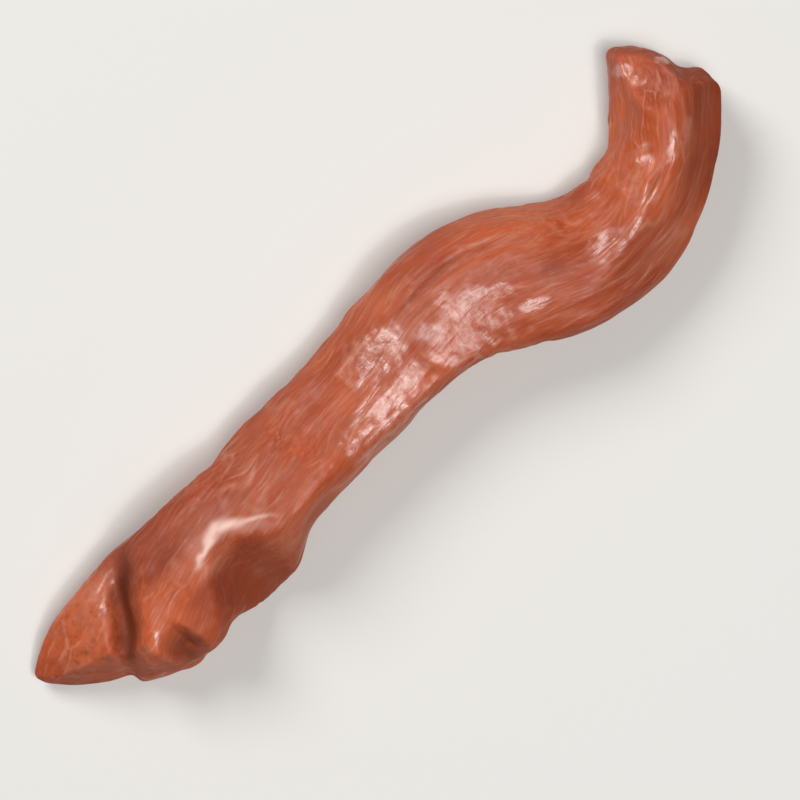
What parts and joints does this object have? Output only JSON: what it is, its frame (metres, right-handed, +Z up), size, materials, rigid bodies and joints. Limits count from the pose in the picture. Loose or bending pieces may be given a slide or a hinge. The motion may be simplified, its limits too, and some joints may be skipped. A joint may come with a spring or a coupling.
{
  "type": "beef stroganoff strip",
  "caption": "Single strip of raw lean beef cut by hand for stroganoff, S-curved, with knife-cut faces, a two-lobed end parted by a furrow and a plain cut end.",
  "frame": {"origin": "centre of the bounding box in X and Y, at the flat underside", "axes": "+X along the chord of the strip from the two-lobed end to the plain cut end, +Y to the left of that, +Z up from the surface it lies on"},
  "size_m": [0.074, 0.02, 0.0088],
  "materials": {
    "raw_beef": "wet, satin to glossy"
  },
  "bodies": {
    "root": {"beef_strip": "raw_beef"}
  },
  "joints": []
}
